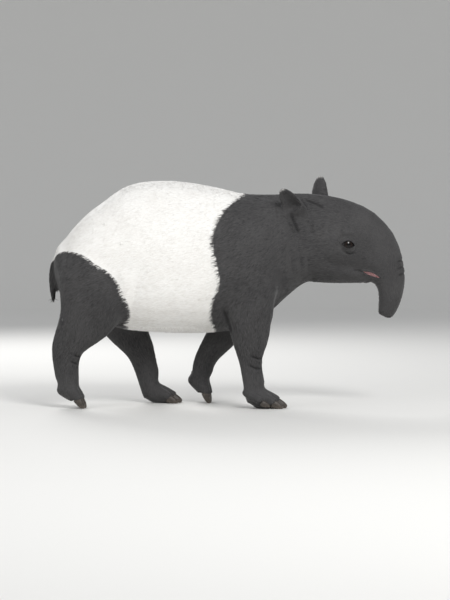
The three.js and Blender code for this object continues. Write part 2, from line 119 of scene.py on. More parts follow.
def add_studio():
    """A pale floor that curves up into a wall far behind whatever the camera looks at."""
    bpy.ops.object.select_all(action="DESELECT")
    bpy.ops.mesh.primitive_circle_add(vertices=96, radius=FLOOR_RADIUS, fill_type="NGON")
    floor = bpy.context.active_object
    floor.name = "floor"
    bpy.ops.object.mode_set(mode="EDIT")
    bpy.ops.mesh.select_all(action="SELECT")
    bpy.ops.mesh.inset(thickness=0.01)
    bpy.ops.mesh.select_all(action="DESELECT")
    bpy.ops.object.mode_set(mode="OBJECT")
    for edge in floor.data.edges:
        edge.select = all(floor.data.vertices[v].co.length > FLOOR_RADIUS - 0.005 for v in edge.vertices)
    bpy.ops.object.mode_set(mode="EDIT")
    bpy.ops.mesh.select_mode(type="EDGE")
    turned = [math.radians(9 * i) for i in range(11)]
    for before, after in zip(turned, turned[1:]):
        inner, outer = (FLOOR_RADIUS + WALL_BEND * math.sin(t) for t in (before, after))
        rise = WALL_BEND * (math.cos(before) - math.cos(after))
        bpy.ops.mesh.extrude_region_move(TRANSFORM_OT_translate={"value": (0, 0, rise)})
        bpy.ops.transform.resize(value=(outer / inner, outer / inner, 1))
    bpy.ops.mesh.select_all(action="SELECT")
    bpy.ops.mesh.normals_make_consistent(inside=True)
    bpy.ops.object.mode_set(mode="OBJECT")
    bpy.ops.object.shade_smooth()
    # Matt paint, pale and even.
    material, _, shader = new_material("painted studio floor")
    shader.inputs["Base Color"].default_value = mix_hex("#e2e1de")
    shader.inputs["Roughness"].default_value = 0.9
    floor.data.materials.append(material)
    add_light("key", (2.2, -4.6, 4.4), (0, 0, 0.5), 2.2, 225)
    add_light("fill", (-4.5, -3.5, 2.0), (0, 0, 0.5), 3.0, 55)
    add_light("rim", (-1.8, 4.5, 3.6), (0, 0, 0.6), 2.5, 150)
    world = bpy.data.worlds.new("studio")
    world.use_nodes = True
    bpy.context.scene.world = world
    back = world.node_tree.nodes["Background"]
    back.inputs["Color"].default_value = mix_hex("#e4e6e9")
    back.inputs["Strength"].default_value = 0.62
    bpy.context.scene.view_settings.view_transform = "Standard"


# Mesh helpers


def points_of(piece):
    co = np.empty(len(piece.data.vertices) * 3, np.float32)
    piece.data.vertices.foreach_get("co", co)
    return co.reshape(-1, 3).astype(float)


def normals_of(piece):
    no = np.empty(len(piece.data.vertices) * 3, np.float32)
    piece.data.vertex_normals.foreach_get("vector", no)
    return no.reshape(-1, 3).astype(float)


def move_points(piece, co):
    piece.data.vertices.foreach_set("co", co.astype(np.float32).ravel())
    piece.data.update()


def step(low, high, value):
    """0 below low and 1 above high, with a smooth rise between them."""
    t = np.clip((value - low) / (high - low), 0, 1)
    return t * t * (3 - 2 * t)


def peak(value, width):
    """1 where the value is 0, falling away to nothing on both sides."""
    return np.exp(-((value / width) ** 2))


def only(piece):
    """Selects one piece alone and makes it the active one."""
    bpy.ops.object.select_all(action="DESELECT")
    piece.select_set(True)
    bpy.context.view_layer.objects.active = piece


def apply(piece, kind, **settings):
    """Adds one modifier, applies it and leaves nothing of it on the piece."""
    only(piece)
    modifier = piece.modifiers.new("shaping", kind)
    for key, value in settings.items():
        setattr(modifier, key, value)
    bpy.ops.object.modifier_apply(modifier=modifier.name)


def weight(piece, name, values):
    """A vertex group from one number a point, in twenty steps."""
    group = piece.vertex_groups.new(name=name)
    levels = np.round(np.clip(values, 0, 1) * 20).astype(int)
    for level in range(21):
        group.add(np.flatnonzero(levels == level).tolist(), level / 20, "REPLACE")


def refine(piece, chosen):
    """Splits every face whose points are all chosen into four."""
    flags = np.zeros(len(piece.data.polygons), bool)
    for face in piece.data.polygons:
        flags[face.index] = all(chosen[v] for v in face.vertices)
    only(piece)
    bpy.ops.object.mode_set(mode="EDIT")
    bpy.ops.mesh.select_mode(type="FACE")
    bpy.ops.mesh.select_all(action="DESELECT")
    bpy.ops.object.mode_set(mode="OBJECT")
    piece.data.polygons.foreach_set("select", flags)
    bpy.ops.object.mode_set(mode="EDIT")
    bpy.ops.mesh.subdivide(number_cuts=1, smoothness=0)
    bpy.ops.object.mode_set(mode="OBJECT")


# The lines of the body, in the side view

SPINE_LINE = [
    (-0.76, 0.62), (-0.53, 0.64), (-0.29, 0.64), (-0.03, 0.63), (0.17, 0.68), (0.31, 0.735), (0.45, 0.75),
    (0.53, 0.735), (0.6, 0.7), (0.66, 0.655), (0.705, 0.6), (0.735, 0.545), (0.742, 0.49), (0.735, 0.44), (0.72, 0.4),
]
TRUNK_BASE = 1.26  # how far along the spine line the trunk starts
RING_SPACING = 0.0165


def centre_of(node):
    """The middle of one solid's box."""
    low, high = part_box(node)
    return (low + high) / 2


# The lines along the middles of the limbs, from their roots to their tips.
LEG_NODES = {"fore": ("shoulder", "forearm", "wrist", "forefoot"), "hind": ("thigh", "shin", "hock", "hindfoot")}
LIMBS = {"spine": [Vector((x, 0, z)) for x, z in SPINE_LINE]}
for _, word in SIDES:
    for end, parts in LEG_NODES.items():
        nodes = [f"{part}_{word}" for part in parts] + [f"hoof_{end}_{word}_middle"]
        LIMBS[f"{end}_{word}"] = [centre_of(node) for node in nodes]
# The right ear is turned back, so it slants through its box, and the left one stands up.
for name, slant in (("ear_right", 1), ("ear_left", 0)):
    low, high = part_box(name)
    middle = (low.x + high.x) / 2
    inner, outer = (high.y, low.y) if name == "ear_right" else (low.y, high.y)
    LIMBS[name] = [
        Vector((middle + slant * 0.045, inner, low.z)),
        Vector((middle - slant * 0.05, outer * 0.93, high.z)),
    ]
LIMBS["tail"] = [Vector((-0.765, 0, 0.67)), Vector((-0.775, 0, 0.48))]
EARS = ["ear_right", "ear_left"]
LEG_TOP = 0.36
BETWEEN_FEET = {RIGHT: -0.35, LEFT: -0.187}


def limb_of(co):
    """The name of the limb that each point belongs to."""
    x, y, z = co.T
    found = np.full(len(co), "spine", "U10")
    for side, word in SIDES:
        here = (z < LEG_TOP) & (y * side > 0.045)
        found[here & (x > BETWEEN_FEET[side])] = f"fore_{word}"
        found[here & (x <= BETWEEN_FEET[side])] = f"hind_{word}"
        low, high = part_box(f"ear_{word}")
        inside = np.all((co > np.array(low) - 0.004) & (co < np.array(high) + 0.004), axis=1)
        off_crown = np.abs(y) > 0.055 + 0.5 * np.clip(0.92 - z, 0, 1)
        found[inside & off_crown] = f"ear_{word}"
    found[(x < -0.755) & (np.abs(y) < 0.034) & (z < 0.67) & (z > 0.46)] = "tail"
    return found


def along(line, co):
    """For each point, how far along the line its nearest place is, that place, and the line's direction there."""
    corners = np.array(line)
    lengths = np.linalg.norm(np.diff(corners, axis=0), axis=1)
    starts = np.concatenate([[0], np.cumsum(lengths)[:-1]])
    best = np.full(len(co), np.inf)
    share = np.zeros(len(co))
    place = np.zeros_like(co)
    heading = np.zeros_like(co)
    for i, length in enumerate(lengths):
        direction = (corners[i + 1] - corners[i]) / length
        t = np.clip((co - corners[i]) @ direction, 0, length)
        near = corners[i] + t[:, None] * direction
        gap = np.linalg.norm(co - near, axis=1)
        closer = gap < best
        best[closer] = gap[closer]
        share[closer] = starts[i] + t[closer]
        place[closer] = near[closer]
        heading[closer] = direction
    return share, place, heading


# The skin

VOXEL = 5 * MM
SEAM_FILL = 1 * MM  # more than half the gap between neighbouring solids
COAT_DEPTH = 3.4 * MM
HAUNCH_PLUG = (-0.5185, -0.1654, 0.8171)
HAUNCH_PLUG_RADIUS = 20 * MM


def joined_copy(names, name):
    """One new mesh from copies of the named solids."""
    copies = []
    for n in names:
        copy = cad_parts[n].copy()
        copy.data = copy.data.copy()
        copy.parent = None
        bpy.context.scene.collection.objects.link(copy)
        copies.append(copy)
    bpy.ops.object.select_all(action="DESELECT")
    for copy in copies:
        copy.select_set(True)
    bpy.context.view_layer.objects.active = copies[0]
    if len(copies) > 1:
        bpy.ops.object.join()
    piece = bpy.context.active_object
    piece.name = piece.data.name = name
    for key in list(piece.keys()):
        del piece[key]
    piece.data.materials.clear()
    bpy.ops.object.mode_set(mode="EDIT")
    bpy.ops.mesh.select_all(action="SELECT")
    bpy.ops.mesh.remove_doubles(threshold=1e-5)
    bpy.ops.object.mode_set(mode="OBJECT")
    return piece


def grow(piece, distance):
    """Moves a piece's surface outward."""
    apply(piece, "DISPLACE", strength=distance, mid_level=0)


def raw_skin():
    """The flesh in one closed mesh, also inside the hooves, so that nothing gapes where they come out."""
    skin = joined_copy(FLESH, "skin")
    grow(skin, SEAM_FILL)
    cores = joined_copy(HOOVES, "hoof_cores")
    grow(cores, -3 * MM)
    ears = joined_copy(EARS, "ear_walls")
    grow(ears, 1.2 * MM)
    # The mouth and the eye openings are filled, and are cut again once the skin is smooth.
    mouth = joined_copy(["tongue"], "mouth_filling")
    move_points(mouth, points_of(mouth) * [1, 1.45, 1] + [0.004, 0, 0])
    grow(mouth, 5 * MM)
    sockets = joined_copy(list(EYES.values()), "socket_filling")
    grow(sockets, 3 * MM)
    # High on the right haunch the cuts between the solids would leave a small pit, so a plug fills it.
    bpy.ops.object.select_all(action="DESELECT")
    bpy.ops.mesh.primitive_ico_sphere_add(subdivisions=3, radius=HAUNCH_PLUG_RADIUS, location=HAUNCH_PLUG)
    bpy.ops.object.transform_apply(location=True)
    plug = bpy.context.active_object
    bpy.ops.object.select_all(action="DESELECT")
    for piece in (cores, ears, mouth, sockets, plug, skin):
        piece.select_set(True)
    bpy.context.view_layer.objects.active = skin
    bpy.ops.object.join()
    skin = bpy.context.active_object
    skin.data.remesh_voxel_size = VOXEL
    bpy.ops.object.voxel_remesh()
    return skin


def eye_place(side):
    return np.array(centre_of(EYES[side]))


def soften(skin):
    """Smooths away the facets and the thin seams: long on the barrel, short on the head, least on ears and toes."""
    co = points_of(skin)
    limb = limb_of(co)
    ear = np.isin(limb, EARS)
    x, _, z = co.T
    toes = np.zeros(len(co))
    for name in HOOVES:
        toes = np.maximum(toes, 1 - step(0.045, 0.085, np.linalg.norm(co - np.array(centre_of(name)), axis=1)))
    weight(skin, "body", step(0.26, 0.42, z) * (1 - step(0.2, 0.34, x)) * (limb != "tail"))
    weight(skin, "limb", (1 - toes) * (1 - ear))
    weight(skin, "ankle", (1 - toes) * (1 - step(0.17, 0.24, z)))
    jaw_angle = 1 - step(0.03, 0.08, np.hypot(x - 0.38, z - 0.57))
    brow = 1 - step(0.05, 0.11, np.hypot(x - 0.53, z - 0.74))
    weight(skin, "jaw", np.maximum(jaw_angle, brow))
    weight(skin, "all", np.where(ear, 0.5, 1))
    for group, passes in (("body", 130), ("limb", 26), ("ankle", 36), ("jaw", 60), ("all", 7)):
        apply(skin, "SMOOTH", factor=0.5, iterations=passes, vertex_group=group)
    skin.vertex_groups.clear()
    # The skin lies inside the solids by the depth of the coat, which is least on the feet, the head and the ears.
    co, no = points_of(skin), normals_of(skin)
    thickness = 0.35 + 0.65 * step(0.1, 0.3, co[:, 2]) * (1 - step(0.3, 0.5, co[:, 0]))
    depth = COAT_DEPTH * thickness * np.where(ear, 0.2, 1)
    move_points(skin, co - no * depth[:, None])


def to_line(co, line):
    """Distance in the side view from each point to a line of (x, z) places, and how far along it the nearest is."""
    flat = np.column_stack([co[:, 0], np.zeros(len(co)), co[:, 2]])
    share, place, _ = along([(x, 0, z) for x, z in line], flat)
    total = sum(math.dist(a, b) for a, b in zip(line, line[1:]))
    return np.linalg.norm(flat - place, axis=1), share / total


def stroke(co, no, line, width, depth, side=BOTH):
    """How far each point moves along its normal for one stroke of a modelling tool, drawn in the side view."""
    gap, share = to_line(co, line)
    ends = step(0, 0.25, share) * (1 - step(0.75, 1, share))
    here = step(0.15, 0.55, np.abs(no[:, 1]))
    if side != BOTH:
        here = here * (no[:, 1] * side > 0) * (co[:, 1] * side > 0)
    return depth * peak(gap, width) * ends * here


# Each stroke is (line, width in metres, depth in millimetres), and a minus depth cuts in.
BODY_STROKES = [
    ([(-0.03, 0.83), (0.0, 0.72), (0.0, 0.6), (-0.03, 0.5)], 0.034, -5.0),  # groove behind the shoulder
    ([(0.06, 0.86), (0.11, 0.76), (0.12, 0.62), (0.1, 0.5)], 0.05, 4.0),  # shoulder muscle
    ([(0.2, 0.86), (0.215, 0.76), (0.21, 0.64), (0.17, 0.54)], 0.028, -4.0),  # groove before the shoulder
    ([(-0.36, 0.66), (-0.4, 0.56), (-0.42, 0.46), (-0.44, 0.37)], 0.026, -5.0),  # fold of the flank
    ([(-0.45, 0.62), (-0.455, 0.52), (-0.47, 0.42)], 0.026, 3.5),  # front of the thigh
    ([(-0.6, 0.84), (-0.655, 0.72), (-0.665, 0.58), (-0.64, 0.45)], 0.036, -3.5),  # groove behind the thigh
    ([(-0.55, 0.9), (-0.48, 0.82), (-0.42, 0.74)], 0.04, -3.0),  # hollow under the hip
    ([(-0.74, 0.5), (-0.72, 0.4), (-0.75, 0.3)], 0.03, 2.0),  # hamstring
]
# The folds of the throat.
THROAT_STROKES = [
    ([(0.31, 0.8), (0.318, 0.7), (0.33, 0.6)], 0.012, -3.0),
    ([(0.275, 0.76), (0.28, 0.66), (0.29, 0.57)], 0.012, -2.6),
    ([(0.352, 0.72), (0.358, 0.64), (0.366, 0.585)], 0.01, -2.2),
    ([(0.235, 0.68), (0.24, 0.6), (0.245, 0.53)], 0.012, -2.0),
]
HEAD_STROKES = [
    ([(0.41, 0.66), (0.46, 0.645), (0.53, 0.63), (0.585, 0.615)], 0.016, -3.0),  # groove of the cheek
    ([(0.43, 0.61), (0.5, 0.6), (0.57, 0.59)], 0.018, 3.0),  # lower jaw
    ([(0.42, 0.71), (0.48, 0.695), (0.55, 0.682)], 0.022, 3.5),  # cheekbone
    ([(0.43, 0.8), (0.48, 0.79), (0.52, 0.78)], 0.03, -4.0),  # temple
    ([(0.5, 0.775), (0.545, 0.78), (0.585, 0.765)], 0.012, 3.5),  # brow
    ([(0.6, 0.74), (0.645, 0.69), (0.66, 0.63)], 0.02, -3.0),  # hollow before the eye
    ([(0.6, 0.67), (0.64, 0.64), (0.69, 0.62)], 0.02, 3.0),  # upper lip
    ([(0.345, 0.84), (0.37, 0.8), (0.375, 0.76)], 0.012, -3.5),  # hollow under the ear
]
# Creases that the drawing shows, as (line, width, depth, side).
CREASES = [
    ([(-0.02, 0.46), (-0.008, 0.42), (0.006, 0.38), (0.022, 0.32)], 0.011, -9.0, RIGHT),  # right elbow
    ([(-0.685, 0.241), (-0.65, 0.226), (-0.615, 0.217)], 0.0058, -6.5, RIGHT),  # right hock
    ([(-0.7, 0.213), (-0.66, 0.195), (-0.625, 0.183)], 0.0058, -6.5, RIGHT),  # right hock
    ([(0.1, 0.235), (0.135, 0.222), (0.176, 0.218)], 0.0058, -6.5, RIGHT),  # right wrist
    ([(0.095, 0.194), (0.13, 0.177), (0.156, 0.175)], 0.0058, -6.5, RIGHT),  # right wrist
    ([(-0.35, 0.21), (-0.31, 0.213), (-0.275, 0.218)], 0.0058, -6.5, LEFT),  # left hock
    ([(-0.345, 0.176), (-0.31, 0.176), (-0.275, 0.179)], 0.0058, -6.5, LEFT),  # left hock
    ([(0.522, 0.693), (0.548, 0.6835), (0.579, 0.69)], 0.0042, -4.6, BOTH),  # under the eye
    ([(0.275, 0.872), (0.294, 0.835), (0.322, 0.768)], 0.0075, -7.0, BOTH),  # behind the ear
    ([(0.34, 0.928), (0.39, 0.91), (0.437, 0.887)], 0.0075, -5.0, BOTH),  # crown
    ([(0.56, 0.613), (0.585, 0.609), (0.612, 0.603)], 0.0035, -2.2, BOTH),  # corner of the mouth
]
TRUNK_WRINKLES = [
    [(0.752, 0.641), (0.775, 0.652), (0.803, 0.655)],
    [(0.757, 0.612), (0.78, 0.623), (0.806, 0.624)],
    [(0.76, 0.584), (0.782, 0.593), (0.806, 0.594)],
]


def wrinkle_share(co):
    """1 in the middle of the three wrinkles across the front of the trunk, 0 away from them."""
    share = np.zeros(len(co))
    for line in TRUNK_WRINKLES:
        gap, way = to_line(co, line)
        share = np.maximum(share, peak(gap, 0.0046) * step(0, 0.4, way) * (co[:, 0] > 0.72))
    return share


def fold_share(co, no):
    """1 in the middle of the creases and wrinkles, where the coat gets painted shade and shorter tufts, 0 away from
    them.
    """
    share = wrinkle_share(co)
    for line, width, _, side in CREASES:
        share = np.maximum(share, stroke(co, no, line, width * 0.9, 1, side))
    return share


def model_body(skin):
    """Muscles, folds of the throat, the bones of the head and the line of the back."""
    co, no = points_of(skin), normals_of(skin)
    move = np.zeros(len(co))
    for line, width, depth in BODY_STROKES + THROAT_STROKES + HEAD_STROKES:
        move += stroke(co, no, line, width, depth * MM)
    # The spine shows as a low ridge between two shallow furrows.
    back = step(0.75, 0.85, co[:, 2]) * (1 - step(0.3, 0.42, co[:, 0])) * step(-0.7, -0.6, co[:, 0])
    move += back * MM * (3.0 * peak(co[:, 1], 0.022) - 2.0 * peak(np.abs(co[:, 1]) - 0.06, 0.03))
    # Soft unevenness of muscle and fat.
    lumps = np.array([noise.noise(Vector(p) * 9) for p in co])
    move += 1.6 * MM * lumps * step(0.2, 0.4, co[:, 2])
    move_points(skin, co + no * move[:, None])


def model_creases(skin):
    """The creases of the hide, and the wrinkles and rings of the trunk."""
    co, no = points_of(skin), normals_of(skin)
    move = np.zeros(len(co))
    for line, width, depth, side in CREASES:
        move += stroke(co, no, line, width, depth * MM, side)
    move -= 3.0 * MM * wrinkle_share(co)
    # Rings run across the front and sides of the trunk, deepest where it bends.
    share, place, heading = along(LIMBS["spine"], co)
    front = np.cross(heading, [0, 1, 0])
    outward = co - place
    outward /= np.maximum(np.linalg.norm(outward, axis=1), 1e-6)[:, None]
    facing_front = step(-0.45, 0.5, -np.einsum("ij,ij->i", outward, front))
    on_trunk = step(TRUNK_BASE + 0.02, TRUNK_BASE + 0.1, share) * (1 - step(1.66, 1.71, share)) * (co[:, 0] > 0.6)
    wander = np.array([noise.noise(Vector(p) * 26) for p in co]) * on_trunk
    rings = np.sin((share + 0.006 * wander) * 2 * math.pi / RING_SPACING)
    depth = 1.0 + 0.8 * np.sin(share * 41 + 1.3)
    move += on_trunk * (0.25 + 0.75 * facing_front) * MM * 0.9 * depth * np.minimum(rings, 0.15)
    move_points(skin, co + no * move[:, None])


# Eyes

EYE_REACH = np.array([36, 30, 36]) * MM  # half sizes of an eyeball along the head, outward and up
LID = 3.5 * MM  # its thickness
OPENING = 27 * MM  # half its length
UPPER, LOWER = 15 * MM, 12.5 * MM  # how far the opening reaches up and down from its middle


def eye_axes(side):
    """Along the head, outward and up, for the eye on one side."""
    outward = np.array([0.16, side * 0.985, 0.06])
    outward /= np.linalg.norm(outward)
    up = np.array([0.0, 0.0, 1.0]) - outward * outward[2]
    up /= np.linalg.norm(up)
    forward = np.cross(up, outward) * -side
    # The opening tips a little down towards the nose.
    tilt = math.radians(-7)
    ahead = forward * math.cos(tilt) + up * math.sin(tilt)
    rise = up * math.cos(tilt) - forward * math.sin(tilt)
    return ahead, outward, rise


def from_eye(co, side):
    """How far each point is from the middle of one eye: along the head, up and outward."""
    ahead, outward, rise = eye_axes(side)
    return ((co - eye_place(side)) @ np.column_stack([ahead, rise, outward])).T


def opening_gap(u, v):
    """Distance from the edge of the almond between the lids, minus inside it."""
    inside = np.clip(1 - (u / OPENING) ** 2, 0, 1)
    top = UPPER * inside**0.85
    bottom = -LOWER * inside**0.95
    edge = np.maximum(v - top, bottom - v)
    past = np.hypot(np.maximum(np.abs(u) - OPENING, 0), v)
    return np.where(np.abs(u) < OPENING, edge * 0.85, past)


def model_eyes(skin):
    """Lids are drawn over each eyeball, with an almond opening between them and a crease round them."""
    for side in (RIGHT, LEFT):
        centre = eye_place(side)
        for reach in (0.062, 0.05):
            co = points_of(skin)
            refine(skin, (np.linalg.norm(co - centre, axis=1) < reach) & (co[:, 1] * side > 0.05))
        co = points_of(skin)
        u, v, w = from_eye(co, side)
        near = (np.linalg.norm(co - centre, axis=1) < 0.075) & (w > -0.012)
        ball = EYE_REACH[1] * np.sqrt(np.clip(1 - (u**2 + v**2) / EYE_REACH[0] ** 2, 0, 1))
        over = (EYE_REACH[1] + LID) * np.sqrt(np.clip(1 - (u**2 + v**2) / (EYE_REACH[0] + LID) ** 2, 0, 1))
        gap = opening_gap(u, v)
        rho = np.hypot(u, v)
        # The head is pressed in round the eye, so that it stands no prouder than the lids.
        pressed = 0.0235 - 0.012 * (rho / 0.05) ** 2
        blend = 1 - step(0.03, 0.05, rho)
        head = w * (1 - blend) + np.minimum(w, pressed) * blend
        lid = np.maximum(over - 0.8 * MM * step(0, 0.006, gap), head)
        lid = lid + 1.0 * MM * peak(gap - 0.0022, 0.0018)
        # The crease of the upper lid is deeper than the one under the eye.
        lid = lid - 2.0 * MM * peak(gap - 0.01, 0.0023) * (0.5 + 0.5 * step(-0.012, 0.006, v))
        sunk = ball - 5 * MM
        mixed = step(-0.0009, 0.0004, gap)
        wanted = sunk * (1 - mixed) + lid * mixed
        share = (1 - step(0.052, 0.07, rho)) * near
        _, outward, _ = eye_axes(side)
        move_points(skin, co + (share * (wanted - w))[:, None] * outward)


# The mouth and the end of the trunk

MOUTH = [(0.609, 0.6035), (0.63, 0.598), (0.656, 0.589), (0.684, 0.576)]
MOUTH_HALF = 6.4 * MM  # half its opening
TRUNK_TIP = np.array([0.715, 0, 0.41])
TRUNK_AXIS = np.array([-0.31, 0, -0.951])
TRUNK_FRONT = np.array([0.951, 0, -0.31])


def mouth_gap(co):
    """Distance in the side view from the edge of the open mouth, minus inside it."""
    gap, share = to_line(co, MOUTH)
    return gap - MOUTH_HALF * np.clip(np.sin(math.pi * share), 0, 1) ** 0.75


def model_mouth(skin):
    """A narrow open mouth with rounded lips, as deep as the tongue that shows in it."""
    middle = np.array([0.647, 0, 0.592])
    for reach in (0.068, 0.056):
        co = points_of(skin)
        flat = (co - middle) * [1, 0, 1]
        refine(skin, (np.linalg.norm(flat, axis=1) < reach) & (mouth_gap(co) < 0.02) & (np.abs(co[:, 1]) > 0.02))
    co, no = points_of(skin), normals_of(skin)
    gap = mouth_gap(co)
    near = (np.abs(co[:, 1]) > 0.02) & (gap < 0.03)
    sideways = step(0.1, 0.45, np.abs(no[:, 1])) * near
    lip = 2.6 * MM * peak(gap - 0.0045, 0.0038) * sideways
    co = co + no * lip[:, None]
    inside = (1 - step(-0.0012, 0.0009, gap)) * near * (np.abs(no[:, 1]) > 0.12)
    lining = np.sign(co[:, 1]) * 0.0295
    co[:, 1] = co[:, 1] * (1 - inside) + lining * inside
    move_points(skin, co)


def nostril_gap(co):
    """Distance from the edge of the nearer nostril, seen along the trunk's end, minus inside it."""
    local = co - TRUNK_TIP
    ahead = local @ TRUNK_FRONT - 0.012
    across = np.abs(co[:, 1]) - 0.0125 - 0.12 * ahead
    return np.sqrt((across / 0.62) ** 2 + ahead**2) - 0.0095


def model_trunk_end(skin):
    """Two nostrils with swollen rims, parted by a furrow, at the blunt end of the trunk."""
    for reach in (0.06, 0.045):
        co = points_of(skin)
        refine(skin, np.linalg.norm(co - TRUNK_TIP - 0.006 * TRUNK_AXIS, axis=1) < reach)
    co, no = points_of(skin), normals_of(skin)
    end = step(0.25, 0.6, no @ TRUNK_AXIS) * (np.linalg.norm(co - TRUNK_TIP, axis=1) < 0.06)
    gap = nostril_gap(co)
    rim = 2.4 * MM * peak(gap - 0.003, 0.003)
    furrow = -1.8 * MM * peak(co[:, 1], 0.0022) * step(-0.02, 0.0, (co - TRUNK_TIP) @ TRUNK_FRONT)
    co = co + no * ((rim + furrow) * end)[:, None]
    inside = (1 - step(-0.0022, 0.0006, gap)) * end
    co = co - TRUNK_AXIS * (0.014 * inside)[:, None]
    move_points(skin, co)


def make_eye(side, material):
    """A smooth eyeball that fills the lids from behind, in place of the plain one."""
    bpy.ops.object.select_all(action="DESELECT")
    bpy.ops.mesh.primitive_uv_sphere_add(segments=48, ring_count=32, radius=1)
    eye = bpy.context.active_object
    eye.name = "eyeball_right" if side == RIGHT else "eyeball_left"
    co = points_of(eye)
    ahead, outward, rise = eye_axes(side)
    # The poles face along the outward axis, and the clear front bulges a little.
    bulge = 1 + 0.05 * peak(np.hypot(co[:, 0], co[:, 1]), 0.42) * (co[:, 2] > 0)
    spread = co * EYE_REACH[[0, 2, 1]]
    spread[:, 2] *= bulge
    move_points(eye, eye_place(side) + spread @ np.vstack([ahead, rise, outward]))
    only(eye)
    bpy.ops.object.mode_set(mode="EDIT")
    bpy.ops.mesh.select_all(action="SELECT")
    bpy.ops.mesh.normals_make_consistent(inside=False)
    bpy.ops.object.mode_set(mode="OBJECT")
    bpy.ops.object.shade_smooth()
    eye.data.materials.append(material)
    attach(eye, "root")
    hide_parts(EYES[side])


# Materials


def new_material(name):
    """A material, its node tree and its shader."""
    material = bpy.data.materials.new(name)
    material.use_nodes = True
    return material, material.node_tree, material.node_tree.nodes["Principled BSDF"]


# Where the pale saddle ends, as (height, place along the body), for the right side and the left.
FRONT_EDGE = {
    RIGHT: [(0.3, -0.04), (0.347, -0.049), (0.388, -0.064), (0.433, -0.068), (0.486, -0.056), (0.553, -0.034),
            (0.627, -0.042), (0.702, -0.06), (0.769, -0.06), (0.836, -0.034), (0.903, 0.018), (0.941, 0.078),
            (1.0, 0.17)],
    LEFT: [(0.3, -0.16), (0.347, -0.15), (0.388, -0.13), (0.433, -0.105), (0.486, -0.078), (0.553, -0.046),
           (0.627, -0.042), (0.702, -0.06), (0.769, -0.06), (0.836, -0.034), (0.903, 0.018), (0.941, 0.078),
           (1.0, 0.17)],
}
HAUNCH_EDGE = {
    RIGHT: [(0.3, -0.4), (0.351, -0.444), (0.411, -0.429), (0.515, -0.459), (0.59, -0.504), (0.642, -0.579),
            (0.687, -0.654), (0.7, -0.76), (0.708, -0.98)],
    LEFT: [(0.3, -0.29), (0.351, -0.32), (0.411, -0.345), (0.515, -0.41), (0.59, -0.475), (0.642, -0.565),
           (0.687, -0.65), (0.7, -0.76), (0.708, -0.98)],
}
TAIL_DIP, TAIL_DIP_REACH = 0.045, 0.13  # how much lower the saddle comes over the tail, and how wide
BELLY_EDGE = 0.318
EDGE_START, EDGE_SPAN = -1.0, 1.2  # the curves hold places from -1 m to +0.2 m as 0 to 1


def edge_place(tree, height, corners):
    """The place along the body of one edge of the saddle, at a height."""
    made = add_node(tree, "ShaderNodeFloatCurve", {"Value": height})
    curve = made.mapping.curves[0]
    spots = [(z, (x - EDGE_START) / EDGE_SPAN) for z, x in corners]
    for z, x in spots[1:-1]:
        curve.points.new(z, x)
    curve.points[0].location, curve.points[-1].location = spots[0], spots[-1]
    made.mapping.update()
    inputs = {0: made.outputs[0], 1: EDGE_SPAN, 2: EDGE_START}
    return add_node(tree, "ShaderNodeMath", inputs, operation="MULTIPLY_ADD").outputs[0]


def saddle_share(tree, place):
    """1 in the pale saddle and 0 in the dark coat, with the soft and slightly uneven edge of real fur."""
    x, y, z = add_node(tree, "ShaderNodeSeparateXYZ", {0: place}).outputs
    left = add_node(tree, "ShaderNodeMapRange", {0: y, 1: -0.03, 2: 0.03}).outputs[0]
    off_middle = add_node(tree, "ShaderNodeMath", {0: y}, operation="ABSOLUTE").outputs[0]
    inputs = {0: off_middle, 1: 0.0, 2: TAIL_DIP_REACH, 3: TAIL_DIP, 4: 0.0}
    dip = add_node(tree, "ShaderNodeMapRange", inputs, interpolation_type="SMOOTHSTEP").outputs[0]
    rump_height = add_node(tree, "ShaderNodeMath", {0: z, 1: dip}, operation="ADD").outputs[0]
    edges = []
    for height, corners in ((z, FRONT_EDGE), (rump_height, HAUNCH_EDGE)):
        near, far = edge_place(tree, height, corners[RIGHT]), edge_place(tree, height, corners[LEFT])
        edges.append(add_node(tree, "ShaderNodeMix", {0: left, 2: near, 3: far}).outputs[0])
    behind_shoulder = add_node(tree, "ShaderNodeMath", {0: edges[0], 1: x}, operation="SUBTRACT").outputs[0]
    before_haunch = add_node(tree, "ShaderNodeMath", {0: x, 1: edges[1]}, operation="SUBTRACT").outputs[0]
    above_legs = add_node(tree, "ShaderNodeMath", {0: z, 1: BELLY_EDGE}, operation="SUBTRACT").outputs[0]
    between = add_node(tree, "ShaderNodeMath", {0: behind_shoulder, 1: before_haunch}, operation="MINIMUM").outputs[0]
    inside = add_node(tree, "ShaderNodeMath", {0: between, 1: above_legs}, operation="MINIMUM").outputs[0]
    # Hair ends of 5 to 10 mm cross the edge, so it wanders by that much.
    wander = add_node(tree, "ShaderNodeTexNoise", {"Vector": place, "Scale": 70, "Detail": 3}).outputs[0]
    moved = add_node(tree, "ShaderNodeMath", {0: wander, 1: 0.016, 2: inside}, operation="MULTIPLY_ADD").outputs[0]
    return add_node(tree, "ShaderNodeMapRange", {0: moved, 1: 0.004, 2: 0.012}).outputs[0]


def strands(tree, place, length, thickness, upright):
    """Noise drawn out along the body, or upright."""
    size = (thickness, thickness, length) if upright else (length, thickness, thickness)
    scale = [1 / s for s in size]
    drawn = add_node(tree, "ShaderNodeMapping", {"Vector": place, "Scale": scale})
    return add_node(tree, "ShaderNodeTexNoise", {"Vector": drawn.outputs[0], "Scale": 1, "Detail": 2}).outputs[0]


